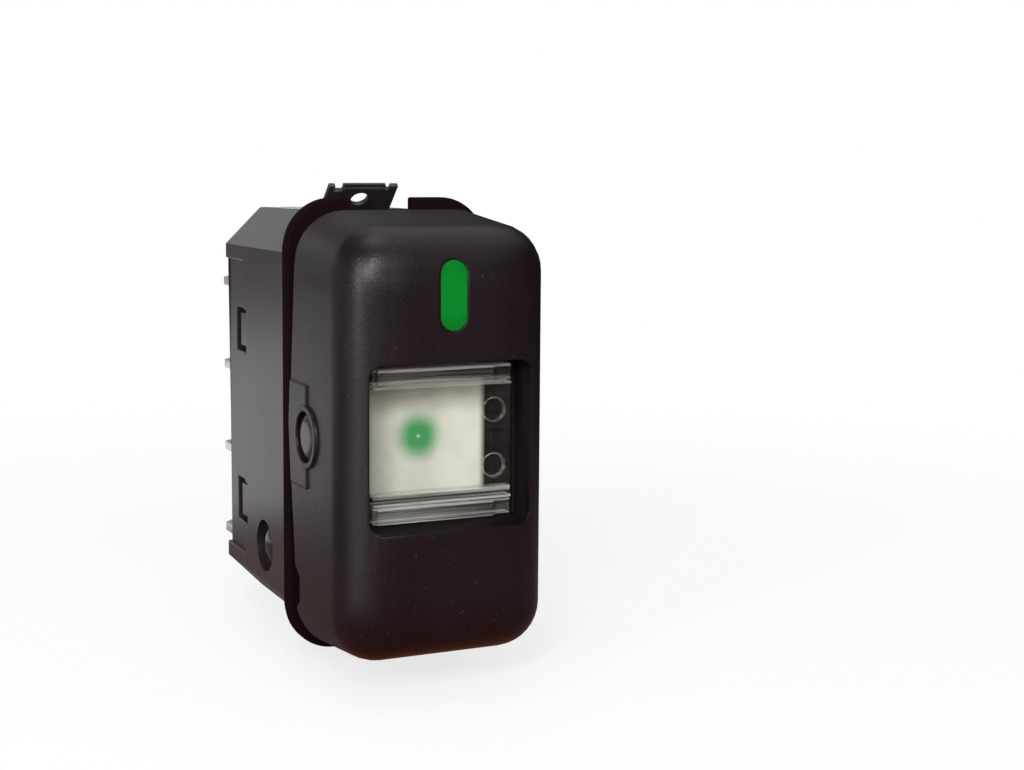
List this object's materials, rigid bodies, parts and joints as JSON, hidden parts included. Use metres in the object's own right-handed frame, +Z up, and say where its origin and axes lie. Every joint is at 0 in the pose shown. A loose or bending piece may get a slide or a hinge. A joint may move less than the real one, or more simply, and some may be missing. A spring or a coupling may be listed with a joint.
{
  "type": "rocker switch",
  "caption": "Panel-mount rocker switch with a soft-edged cap, a lit legend window, a green indicator, spring clips and blade terminals at the back.",
  "frame": {"origin": "centre of the flange's back face, which rests on the front of the panel", "axes": "+X to the right seen from the front, +Y into the panel towards the terminals, +Z up, with the green indicator at the top"},
  "size_m": [0.0174, 0.0395, 0.0384],
  "materials": {
    "black_plastic": "fine satin moulding",
    "cap_plastic": "fine grain, soft sheen",
    "green_lens": "tinted, translucent",
    "clear_lens": "clear, polished",
    "white_plastic": "milky",
    "pale_nylon": "translucent moulding",
    "tinned_brass": "tin plated, satin",
    "spring_steel": "dark, blued",
    "plunger_plastic": "smooth",
    "spring_wire": "drawn wire",
    "brass_strip": "rolled strip",
    "contact_silver": "silver faced, satin",
    "board_laminate": "pressed laminate",
    "lamp_glass": "clear",
    "green_rubber": "translucent silicone"
  },
  "bodies": {
    "housing": {"housing": "black_plastic", "terminal_block": "pale_nylon", "terminal_upper": "tinned_brass", "terminal_common": "tinned_brass", "terminal_lower": "tinned_brass", "terminal_lamp_feed": "tinned_brass", "terminal_lamp_return": "tinned_brass", "top_clip": "spring_steel", "bottom_clip": "spring_steel", "fixed_contact_upper": "contact_silver", "fixed_contact_lower": "contact_silver", "lamp_board": "board_laminate", "legend_lamp": "lamp_glass", "legend_lamp_boot": "green_rubber", "indicator_lamp": "lamp_glass", "side_stud_left": "black_plastic", "side_stud_right": "black_plastic"},
    "rocker": {"rocker_cap": "cap_plastic", "indicator_lens": "green_lens", "legend_lens": "clear_lens", "legend_diffuser": "white_plastic", "plunger_spring": "spring_wire"},
    "plunger": {"plunger": "plunger_plastic"},
    "see_saw": {"contact_rocker": "brass_strip", "moving_contact_upper": "contact_silver", "moving_contact_lower": "contact_silver"}
  },
  "joints": [
    {"name": "rocker_pivot", "type": "hinge", "parent": "housing", "child": "rocker", "pos_m": [0, -0.00545, 0], "axis": [1, 0, 0], "range_deg": [-6, 6]},
    {"name": "see_saw_pivot", "type": "hinge", "parent": "housing", "child": "see_saw", "pos_m": [-0.0036, 0.0052, 0], "axis": [1, 0, 0], "range_deg": [-6, 6]},
    {"name": "plunger_slide", "type": "slide", "parent": "rocker", "child": "plunger", "axis": [0, 1, 0], "range_m": [-0.0012, 0], "stiffness_N_per_m": 150, "deforming": ["plunger_spring"]}
  ],
  "couplings": [
    {"joint": "see_saw_pivot", "follows": "rocker_pivot", "ratio": -1}
  ]
}
